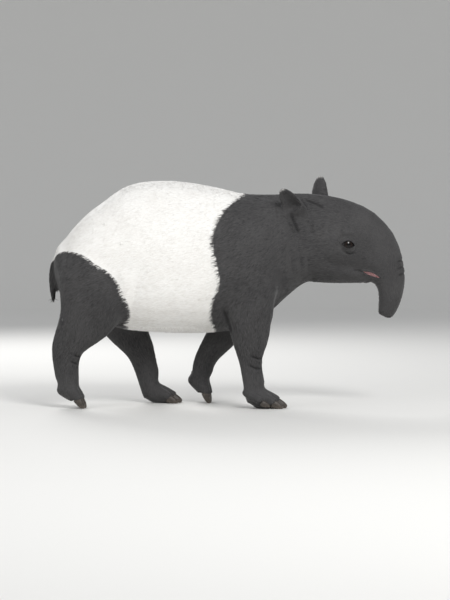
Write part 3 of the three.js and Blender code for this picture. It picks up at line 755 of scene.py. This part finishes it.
def coat_material(name, with_skin):
    """Short dense fur on thick hide: dull, a little silky at a glancing angle, drawn out along the lie of the hair.

    A tapir's hairs are about 0.1 mm thick, too fine to show, so the strands are drawn 2 mm thick, and the pores
    between them 4 mm apart. On the skin the strands also tint it, and on the tufts each has its own tone.
    """
    material, tree, shader = new_material(name)
    place = add_node(tree, "ShaderNodeTexCoord").outputs["Object"]
    ahead, _, height = add_node(tree, "ShaderNodeSeparateXYZ", {0: place}).outputs
    on_legs = add_node(tree, "ShaderNodeMapRange", {0: height, 1: 0.42, 2: 0.3}).outputs[0]
    on_trunk = add_node(tree, "ShaderNodeMapRange", {0: ahead, 1: 0.66, 2: 0.72}).outputs[0]
    hanging = add_node(tree, "ShaderNodeMath", {0: on_legs, 1: on_trunk}, operation="MAXIMUM").outputs[0]
    lengthwise = strands(tree, place, 30 * MM, 2.2 * MM, False)
    downward = strands(tree, place, 26 * MM, 2.2 * MM, True)
    hair = add_node(tree, "ShaderNodeMix", {0: hanging, 2: lengthwise, 3: downward}).outputs[0]
    broad = add_node(tree, "ShaderNodeTexNoise", {"Vector": place, "Scale": 7, "Detail": 3}).outputs[0]
    single = hair if with_skin else add_node(tree, "ShaderNodeAttribute", attribute_name="tone").outputs["Fac"]
    shade = add_node(tree, "ShaderNodeMix", {0: 0.4, 2: single, 3: broad}).outputs[0]
    dark = add_node(tree, "ShaderNodeValToRGB", {0: shade})
    dark.color_ramp.elements[0].position, dark.color_ramp.elements[0].color = 0.3, mix_hex("#2b2a2b")
    dark.color_ramp.elements[1].position, dark.color_ramp.elements[1].color = 0.7, mix_hex("#4a4949")
    pale = add_node(tree, "ShaderNodeValToRGB", {0: shade})
    pale.color_ramp.elements[0].position, pale.color_ramp.elements[0].color = 0.3, mix_hex("#e8e5e0")
    pale.color_ramp.elements[1].position, pale.color_ramp.elements[1].color = 0.7, mix_hex("#fbfaf7")
    root = place if with_skin else add_node(tree, "ShaderNodeAttribute", attribute_name="root").outputs["Vector"]
    saddle = saddle_share(tree, root)
    tipped = add_node(tree, "ShaderNodeAttribute", attribute_name="pale").outputs["Fac"]
    share = add_node(tree, "ShaderNodeMath", {0: saddle, 1: tipped}, operation="MAXIMUM").outputs[0]
    inputs = {0: share, 6: dark.outputs[0], 7: pale.outputs[0]}
    colour = add_node(tree, "ShaderNodeMix", inputs, data_type="RGBA").outputs[2]
    # Painted shade: the coat goes near black along the creases and the trunk's wrinkles, where shadow falls.
    over = [("painted_fold_shade", "#151415")]
    if with_skin:
        # Dark bare rims, the ears' cups darkened partly as painted shade, and the pink lining of the mouth.
        over += [("bare", "#141213"), ("cup_skin_and_shade", "#1c191a"), ("lining", "#fbcdcf")]
    for attribute, code in over:
        here = add_node(tree, "ShaderNodeAttribute", attribute_name=attribute).outputs["Fac"]
        mixed = add_node(tree, "ShaderNodeMix", {0: here, 6: colour, 7: mix_hex(code)}, data_type="RGBA")
        colour = mixed.outputs[2]
    tree.links.new(colour, shader.inputs["Base Color"])
    shader.inputs["Roughness"].default_value = 0.72
    shader.inputs["Specular IOR Level"].default_value = 0.32
    shader.inputs["Sheen Weight"].default_value = 0.18
    shader.inputs["Sheen Roughness"].default_value = 0.45
    pores = add_node(tree, "ShaderNodeTexNoise", {"Vector": place, "Scale": 260, "Detail": 2}).outputs[0]
    relief = add_node(tree, "ShaderNodeMath", {0: pores, 1: 0.35, 2: hair}, operation="MULTIPLY_ADD").outputs[0]
    bump = add_node(tree, "ShaderNodeBump", {"Height": relief, "Strength": 0.55, "Distance": 1.4 * MM})
    tree.links.new(bump.outputs[0], shader.inputs["Normal"])
    return material


def eye_material():
    """A wet, nearly black eye: a dark brown iris round a wide pupil, under a clear glossy front.

    The fibres of an iris are about 0.2 mm thick, too fine to show, so they are drawn 2.4 mm thick.
    """
    material, tree, shader = new_material("wet dark eye")
    place = add_node(tree, "ShaderNodeTexCoord").outputs["Object"]
    centre = eye_place(RIGHT)
    moved = add_node(tree, "ShaderNodeMapping", {"Vector": place, "Location": [-centre[0] - 0.005, 0, -centre[2]]})
    split = add_node(tree, "ShaderNodeSeparateXYZ", {0: moved.outputs[0]})
    flat = add_node(tree, "ShaderNodeCombineXYZ", {0: split.outputs[0], 2: split.outputs[2]})
    away = add_node(tree, "ShaderNodeVectorMath", {0: flat.outputs[0]}, operation="LENGTH").outputs["Value"]
    fibres = add_node(tree, "ShaderNodeTexNoise", {"Vector": place, "Scale": 420, "Detail": 3}).outputs[0]
    loose = add_node(tree, "ShaderNodeMath", {0: fibres, 1: 0.0025, 2: away}, operation="MULTIPLY_ADD").outputs[0]
    share = add_node(tree, "ShaderNodeMath", {0: loose, 1: 0.03}, operation="DIVIDE").outputs[0]
    ramp = add_node(tree, "ShaderNodeValToRGB", {0: share})
    ramp.color_ramp.elements[0].position, ramp.color_ramp.elements[0].color = 0.3, mix_hex("#050404")
    ramp.color_ramp.elements[1].position, ramp.color_ramp.elements[1].color = 0.95, mix_hex("#120d0c")
    ring = ramp.color_ramp.elements.new(0.42)
    ring.color = mix_hex("#1e120d")
    rim = ramp.color_ramp.elements.new(0.72)
    rim.color = mix_hex("#0c0807")
    tree.links.new(ramp.outputs[0], shader.inputs["Base Color"])
    shader.inputs["Roughness"].default_value = 0.2
    shader.inputs["Specular IOR Level"].default_value = 0.1
    shader.inputs["Coat Weight"].default_value = 0.42
    shader.inputs["Coat Roughness"].default_value = 0.02
    return material


def horn_material():
    """Worn horn: fibrous and satin, darker at the coronet and paler towards the edge on the ground.

    The fibres of horn are about 0.3 mm thick, too fine to show, so they are drawn 1.6 mm thick.
    """
    material, tree, shader = new_material("worn hoof horn")
    place = add_node(tree, "ShaderNodeTexCoord").outputs["Object"]
    fibres = strands(tree, place, 30 * MM, 1.6 * MM, True)
    broad = add_node(tree, "ShaderNodeTexNoise", {"Vector": place, "Scale": 60, "Detail": 3}).outputs[0]
    shade = add_node(tree, "ShaderNodeMix", {0: 0.5, 2: fibres, 3: broad}).outputs[0]
    height = add_node(tree, "ShaderNodeSeparateXYZ", {0: place}).outputs[2]
    low = add_node(tree, "ShaderNodeMapRange", {0: height, 1: 0.02, 2: 0.0, 3: 0.0, 4: 0.3}).outputs[0]
    worn = add_node(tree, "ShaderNodeMath", {0: shade, 1: low}, operation="ADD").outputs[0]
    ramp = add_node(tree, "ShaderNodeValToRGB", {0: worn})
    ramp.color_ramp.elements[0].position, ramp.color_ramp.elements[0].color = 0.3, mix_hex("#1f1b19")
    ramp.color_ramp.elements[1].position, ramp.color_ramp.elements[1].color = 0.95, mix_hex("#6b6259")
    tree.links.new(ramp.outputs[0], shader.inputs["Base Color"])
    shader.inputs["Roughness"].default_value = 0.42
    bump = add_node(tree, "ShaderNodeBump", {"Height": shade, "Strength": 0.5, "Distance": 0.8 * MM})
    tree.links.new(bump.outputs[0], shader.inputs["Normal"])
    return material


def tongue_material():
    """Moist pink flesh. Its papillae are about 1 mm across, too fine to show, so its grain is drawn at 3 mm."""
    material, tree, shader = new_material("moist tongue")
    place = add_node(tree, "ShaderNodeTexCoord").outputs["Object"]
    grain = add_node(tree, "ShaderNodeTexNoise", {"Vector": place, "Scale": 300, "Detail": 3}).outputs[0]
    ramp = add_node(tree, "ShaderNodeValToRGB", {0: grain})
    ramp.color_ramp.elements[0].position, ramp.color_ramp.elements[0].color = 0.3, mix_hex("#fbbcc0")
    ramp.color_ramp.elements[1].position, ramp.color_ramp.elements[1].color = 0.7, mix_hex("#ffdbdb")
    tree.links.new(ramp.outputs[0], shader.inputs["Base Color"])
    shader.inputs["Roughness"].default_value = 0.3
    shader.inputs["Subsurface Weight"].default_value = 0.15
    bump = add_node(tree, "ShaderNodeBump", {"Height": grain, "Strength": 0.4, "Distance": 0.6 * MM})
    tree.links.new(bump.outputs[0], shader.inputs["Normal"])
    return material


def mark(piece, name, values):
    """One number a point, for the materials to read."""
    attribute = piece.data.attributes.new(name, "FLOAT", "POINT")
    attribute.data.foreach_set("value", values.astype(np.float32))


def mark_skin(skin):
    """Bare rims of the lids and nostrils, the lining of the mouth, the ears' pale tips, the ears' cups, darker partly
    by painted shade, and painted shade in the folds.
    """
    co = points_of(skin)
    bare = (1 - step(0.001, 0.004, nostril_gap(co))) * (np.linalg.norm(co - TRUNK_TIP, axis=1) < 0.035)
    for side in (RIGHT, LEFT):
        u, v, w = from_eye(co, side)
        bare = np.maximum(bare, (1 - step(0.0028, 0.005, opening_gap(u, v))) * (w > 0))
    mark(skin, "bare", bare)
    lining = (1 - step(-0.0008, 0.0006, mouth_gap(co))) * (np.abs(co[:, 1]) < 0.07)
    mark(skin, "lining", lining)
    mark(skin, "pale", pale_share(co))
    # The ears' cups are darkened, partly as painted shade in the hollow.
    mark(skin, "cup_skin_and_shade", cup_skin_and_shade_share(skin))
    # Painted shade along the creases and the trunk's wrinkles.
    mark(skin, "painted_fold_shade", FOLD_SHADE * fold_share(co, normals_of(skin)))


def cup_skin_and_shade_share(skin):
    """The inside of the ears, where lines straight out from the skin soon meet the same ear again: darker skin and
    painted shade.
    """
    co, no = points_of(skin), normals_of(skin)
    tree = BVHTree.FromObject(skin, bpy.context.evaluated_depsgraph_get())
    leans = [Vector(v) for v in ((0, 0, 0), (0.35, 0, 0), (-0.35, 0, 0), (0, 0.35, 0), (0, -0.35, 0))]
    inside = np.zeros(len(co))
    for i in np.flatnonzero(np.isin(limb_of(co), EARS)):
        out = Vector(no[i])
        start = Vector(co[i]) + out * 0.002
        hits = [tree.ray_cast(start, (out + lean).normalized(), 0.05)[0] is not None for lean in leans]
        inside[i] = sum(hits) / len(leans)
    return inside


def pale_share(co):
    """The pale rims at the tips of the ears."""
    limb = limb_of(co)
    pale = np.zeros(len(co))
    for name in EARS:
        root, tip = LIMBS[name]
        share = along(LIMBS[name], co)[0] / (tip - root).length
        pale += (limb == name) * 0.45 * step(0.9, 0.97, share)
    return pale


# The coat

# A tuft has three points at its root, three at its middle and one at its tip.
TUFT_POINTS = 7
TUFT_FACES = np.array([
    (0, 3, 4), (0, 4, 1), (1, 4, 5), (1, 5, 2), (2, 5, 3), (2, 3, 0), (3, 6, 4), (4, 6, 5), (5, 6, 3), (0, 1, 2),
])
TUFT_PATCH = np.array([(-1, -1), (0, -1), (1, -1), (-0.7, 0.3), (0, 0.3), (0.7, 0.3), (0, 1)]) * 0.0015
# How strongly the painted shade darkens the coat in the creases and wrinkles.
FOLD_SHADE = 0.8
# Where each stretch of the coat ends, along the body.
FACE_END, HEAD_END, SHOULDERS_END, BARREL_END = 0.56, 0.33, 0.02, -0.35


def scatter(skin, count, density):
    """Seeded places on the skin with their normals, more of them where the density is higher."""
    mesh = skin.data
    mesh.calc_loop_triangles()
    corners = np.empty(len(mesh.loop_triangles) * 3, np.int32)
    mesh.loop_triangles.foreach_get("vertices", corners)
    corners = corners.reshape(-1, 3)
    co, no = points_of(skin), normals_of(skin)
    a, b, c = (co[corners[:, i]] for i in range(3))
    area = np.linalg.norm(np.cross(b - a, c - a), axis=1) / 2
    middle = (a + b + c) / 3
    share = area * density(middle, no[corners[:, 0]])
    chosen = corners[rng.choice(len(area), size=count, p=share / share.sum())]
    s, t = rng.random(count), rng.random(count)
    flip = s + t > 1
    s[flip], t[flip] = 1 - s[flip], 1 - t[flip]
    parts = [part[:, None] for part in (1 - s - t, s, t)]
    place, normal = (sum(values[chosen[:, i]] * parts[i] for i in range(3)) for values in (co, no))
    return place, normal / np.linalg.norm(normal, axis=1)[:, None]


def lie_of(co, no):
    """The way the hair lies: back from the nose to the rump, down the legs and the tail, out along the ears."""
    limb = limb_of(co)
    x, y, z = co.T
    _, _, heading = along(LIMBS["spine"], co)
    flow = -heading
    # On the sides of the barrel it also slopes down.
    flow[:, 2] -= 0.35 * step(0.06, 0.2, np.abs(y)) * (1 - step(0.3, 0.42, x))
    for side, word in SIDES:
        for end in LEG_NODES:
            leg = f"{end}_{word}"
            _, place, down = along(LIMBS[leg], co)
            apart = np.linalg.norm((co - place) * [1, 0, 1], axis=1)
            share = (1 - step(0.34, 0.6, z)) * (1 - step(0.1, 0.22, apart)) * (y * side > 0)
            share = np.maximum(share, limb == leg)[:, None]
            flow = flow * (1 - share) + down * share
        ear = f"ear_{word}"
        flow[limb == ear] = along(LIMBS[ear], co[limb == ear])[2]
    flow[limb == "tail"] = (0, 0, -1)
    flow -= no * np.einsum("ij,ij->i", flow, no)[:, None]
    flow /= np.maximum(np.linalg.norm(flow, axis=1), 1e-6)[:, None]
    # Hairs stray a little, together with their neighbours and each on its own.
    stray = np.array([noise.noise(Vector(p) * 14) for p in co]) * 0.35 + rng.normal(0, 0.1, len(co))
    return flow * np.cos(stray)[:, None] + np.cross(no, flow) * np.sin(stray)[:, None]


def clear_of_bare(co, no):
    """True where a tuft may stand: not on the eyes, in the mouth or nostrils, on the soles or in a hoof."""
    clear = (mouth_gap(co) > 0.0035) | (co[:, 0] < 0.58)
    clear &= (nostril_gap(co) > 0.004) | (np.linalg.norm(co - TRUNK_TIP, axis=1) > 0.045)
    for side in (RIGHT, LEFT):
        u, v, w = from_eye(co, side)
        clear &= (opening_gap(u, v) > 0.006) | (w < 0) | (np.hypot(u, v) > 0.05)
    clear &= ((no[:, 2] > -0.6) | (co[:, 2] > 0.03)) & (co[:, 2] > 0.004)
    low = np.flatnonzero(clear & (co[:, 2] < 0.17))
    for name in HOOVES:
        tree = BVHTree.FromObject(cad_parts[name], bpy.context.evaluated_depsgraph_get())
        near, far = (np.array(corner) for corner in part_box(name))
        boxed = np.all((co[low] > near - 0.003) & (co[low] < far + 0.003), axis=1)
        for i in low[boxed]:
            root = Vector(co[i])
            place, normal, _, _ = tree.find_nearest(root)
            if (root - place).dot(normal) < 0.0015:
                clear[i] = False
    return clear


def border_gap(co):
    """Distance along the body from the nearer edge of the saddle."""
    x, y, z = co.T
    gap = np.full(len(co), 1.0)
    for side in (RIGHT, LEFT):
        here = y * side >= 0
        dip = TAIL_DIP * (1 - step(0, TAIL_DIP_REACH, np.abs(y[here])))
        for corners, lower in ((FRONT_EDGE[side], 0), (HAUNCH_EDGE[side], dip)):
            edge = np.interp(z[here] + lower, *np.array(corners).T)
            gap[here] = np.minimum(gap[here], np.abs(x[here] - edge))
    return gap


def tuft_sizes(co, no):
    """Length and lift of the hair at each place, in metres and radians."""
    x, _, z = co.T
    limb = limb_of(co)
    ears, tail = np.isin(limb, EARS), limb == "tail"
    # In millimetres: longer along the back, under the belly and over the saddle's edge.
    length = np.full(len(co), 16.0)
    length += 6 * step(0.8, 0.95, no[:, 2]) * (x < 0.42)
    length += 5 * step(0.6, 0.95, -no[:, 2]) * (z > 0.28)
    length += 4 * (1 - step(0.0, 0.03, border_gap(co))) * (z > 0.33)
    # Shorter towards the nose and down the legs, shortest on the ears, longest at the tail's tip.
    length = np.where(x > 0.36, 17 - 8 * step(0.36, 0.6, x), length)
    length = np.where(z < 0.34, np.minimum(length, 9 + 8 * step(0.08, 0.32, z)), length)
    length[ears] = 8
    length[tail] = 16 + 14 * (1 - step(0.47, 0.54, z[tail]))
    lift = np.full(len(co), 4.6) + 3 * step(0.6, 0.95, -no[:, 2])
    lift[ears] = 12
    lift[tail] = 10
    return length * MM, np.radians(lift)


def density_of(co, no):
    """Denser where the hair is shorter, along the back and over the saddle's edge."""
    x, y, z = co.T
    limb = limb_of(co)
    value = np.ones(len(co))
    value += 1.4 * step(0.4, 0.55, x)
    value += 1.3 * (1 - step(0.12, 0.36, z))
    value += 0.7 * step(0.85, 0.97, no[:, 2]) * (np.abs(y) < 0.05)
    value += 0.8 * (1 - step(0.0, 0.02, border_gap(co))) * (z > 0.33)
    value[np.isin(limb, EARS)] = 2.4
    value[limb == "tail"] = 2.5
    return value


def unwrap_of(co, limbs, turn):
    """Each limb's own rectangle: across it the way round the limb, over the given turn, and up it the way along."""
    limb = limb_of(co)
    uv = np.zeros((len(co), 2))
    for column, name in enumerate(limbs):
        here = limb == name
        share, place, heading = along(LIMBS[name], co[here])
        away = co[here] - place
        up = np.cross(heading, [0, 1, 0])
        up /= np.maximum(np.linalg.norm(up, axis=1), 1e-6)[:, None]
        angle = np.arctan2(away[:, 1], -np.einsum("ij,ij->i", away, up))
        across = np.clip((angle - turn[0]) / (turn[1] - turn[0]), 0, 1)
        along_it = (share - share.min()) / max(np.ptp(share), 1e-6)
        uv[here, 0] = (column + 0.02 + 0.96 * across) / len(limbs)
        uv[here, 1] = 0.01 + 0.98 * along_it
    return uv


def make_coat(name, roots, normals, limbs, turn, material):
    """One mesh of tufts: each a thin three-sided blade, sunk at its root and bent back to the skin at its tip."""
    count = len(roots)
    flow = lie_of(roots, normals)
    sideways = np.cross(normals, flow)
    length, lift = tuft_sizes(roots, normals)
    folded = fold_share(roots, normals)
    length = length * rng.uniform(0.75, 1.25, count) * (1 - 0.45 * folded)
    lift = lift + rng.normal(0, 0.03, count)
    width = length * rng.uniform(0.085, 0.125, count) + 0.6 * MM
    thick = 0.35 * MM + 0.02 * length
    rise = normals * np.sin(lift)[:, None] + flow * np.cos(lift)[:, None]
    base = roots - normals * 0.8 * MM
    middle = base + rise * (length * 0.55)[:, None]
    tip = middle + (rise * 0.35 + flow * 0.65) * (length * 0.45)[:, None]
    broad = sideways * (width * 0.5)[:, None]
    narrow = sideways * (width * 0.42)[:, None]
    thick = normals * thick[:, None]
    rows = (base - broad, base + thick * 1.6, base + broad, middle - narrow, middle + thick, middle + narrow, tip)
    points = np.stack(rows, axis=1)
    points[..., 2] = np.maximum(points[..., 2], 0.6 * MM)
    faces = (TUFT_FACES[None] + TUFT_POINTS * np.arange(count)[:, None, None]).reshape(-1, 3)
    mesh = bpy.data.meshes.new(name)
    mesh.vertices.add(count * TUFT_POINTS)
    mesh.vertices.foreach_set("co", points.astype(np.float32).ravel())
    mesh.loops.add(len(faces) * 3)
    mesh.loops.foreach_set("vertex_index", faces.astype(np.int32).ravel())
    mesh.polygons.add(len(faces))
    mesh.polygons.foreach_set("loop_start", np.arange(0, len(faces) * 3, 3, dtype=np.int32))
    mesh.polygons.foreach_set("use_smooth", np.ones(len(faces), bool))
    mesh.update(calc_edges=True)
    # A tuft is rounded across, and shades as the skin round it does.
    across = np.array([-0.6, 0, 0.6, -0.6, 0, 0.6, 0])[None, :, None]
    facing = normals[:, None, :] + across * sideways[:, None, :]
    facing /= np.linalg.norm(facing, axis=2)[..., None]
    mesh.normals_split_custom_set_from_vertices(facing.reshape(-1, 3).astype(np.float32))
    places = unwrap_of(roots, limbs, turn)[:, None, :] + TUFT_PATCH[None]
    layer = mesh.uv_layers.new(name="OFBake")
    layer.data.foreach_set("uv", places.reshape(-1, 2)[faces.ravel()].astype(np.float32).ravel())
    coat = bpy.data.objects.new(name, mesh)
    bpy.context.scene.collection.objects.link(coat)
    root = mesh.attributes.new("root", "FLOAT_VECTOR", "POINT")
    root.data.foreach_set("vector", np.repeat(roots, TUFT_POINTS, axis=0).astype(np.float32).ravel())
    # Each tuft's own tone, its pale ear tip, and the painted shade of the folds at its root.
    for attribute, values in (("tone", rng.random(count)), ("pale", pale_share(roots)), ("painted_fold_shade", FOLD_SHADE * folded)):
        mark(coat, attribute, np.repeat(values, TUFT_POINTS))
    mesh.materials.append(material)
    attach(coat, "root")


def add_coat(skin):
    """Tufts over the whole skin, in pieces that follow the limbs and the stretches of the body."""
    fur = coat_material("short flat fur", False)
    roots, normals = scatter(skin, TUFTS, density_of)
    clear = clear_of_bare(roots, normals)
    roots, normals = roots[clear], normals[clear]
    limb = limb_of(roots)
    x, y, _ = roots.T
    spine = limb == "spine"
    round_it = (-math.pi, math.pi)
    head = (spine & (x > HEAD_END) & (x <= FACE_END)) | np.isin(limb, EARS)
    pieces = [
        ("coat_face", spine & (x > FACE_END), ["spine"], round_it, "dark_coat"),
        ("coat_head", head, ["spine", *EARS], round_it, "dark_coat"),
    ]
    for name, front, back, slot in (
        ("shoulders", HEAD_END, SHOULDERS_END, "dark_coat"),
        ("barrel", SHOULDERS_END, BARREL_END, "pale_coat"),
        ("rump", BARREL_END, -math.inf, "pale_coat"),
    ):
        here = spine & (x <= front) & (x > back)
        pieces.append((f"coat_{name}_right", here & (y < 0), ["spine"], (-math.pi, 0), slot))
        pieces.append((f"coat_{name}_left", here & (y >= 0), ["spine"], (0, math.pi), slot))
    for name, limbs in (("forelegs", ["fore_right", "fore_left"]), ("hind_legs", ["hind_right", "hind_left", "tail"])):
        pieces.append((f"coat_{name}", np.isin(limb, limbs), limbs, round_it, "dark_coat"))
    for name, here, limbs, turn, slot in pieces:
        make_coat(name, roots[here], normals[here], limbs, turn, fur)


def thin(skin):
    """Fewer triangles on the plain barrel, all of them kept round the eyes, the mouth and the trunk's end."""
    co = points_of(skin)
    keep = np.zeros(len(co))
    spots = ((eye_place(RIGHT), 0.06), (eye_place(LEFT), 0.06), (np.array([0.65, 0, 0.59]), 0.07), (TRUNK_TIP, 0.05))
    for spot, reach in spots:
        keep = np.maximum(keep, 1 - step(reach * 0.8, reach, np.linalg.norm(co - spot, axis=1)))
    weight(skin, "plain", 1 - keep)
    skin.data.calc_loop_triangles()
    share = SKIN_TRIANGLES / len(skin.data.loop_triangles)
    apply(skin, "DECIMATE", ratio=share, vertex_group="plain", vertex_group_factor=4)
    skin.vertex_groups.clear()


GROWTH_RING = 0.0048


def make_hooves(material):
    """The hooves again, rounder, with fine growth rings round them."""
    for name in HOOVES:
        hoof = joined_copy([name], f"horn_{name[5:]}")
        hoof.data.remesh_voxel_size = 1.7 * MM
        only(hoof)
        bpy.ops.object.voxel_remesh()
        apply(hoof, "SMOOTH", factor=0.5, iterations=5)
        co, no = points_of(hoof), normals_of(hoof)
        low, high = (np.array(v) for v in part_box(name))
        rings = np.sin((co[:, 2] - 0.35 * co[:, 0]) * 2 * math.pi / GROWTH_RING)
        move_points(hoof, np.clip(co + no * (0.4 * MM + 0.22 * MM * rings)[:, None], low, high))
        bpy.ops.object.shade_smooth()
        hoof.data.materials.append(material)
        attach(hoof, "root")
        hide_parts(name)


# Making it

add_camera()
add_studio()

skin = raw_skin()
soften(skin)
model_body(skin)
model_creases(skin)
model_eyes(skin)
model_mouth(skin)
model_trunk_end(skin)
# The soles stay above the floor.
raised = points_of(skin)
raised[:, 2] = np.maximum(raised[:, 2], 0.4 * MM)
move_points(skin, raised)
thin(skin)
mark_skin(skin)
only(skin)
bpy.ops.object.shade_smooth()
skin.data.materials.append(coat_material("short fur on hide", True))
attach(skin, "root")
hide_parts(*FLESH)
add_coat(skin)

wet_eye = eye_material()
for side in (RIGHT, LEFT):
    make_eye(side, wet_eye)
make_hooves(horn_material())
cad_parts["tongue"].material_slots[0].material = tongue_material()
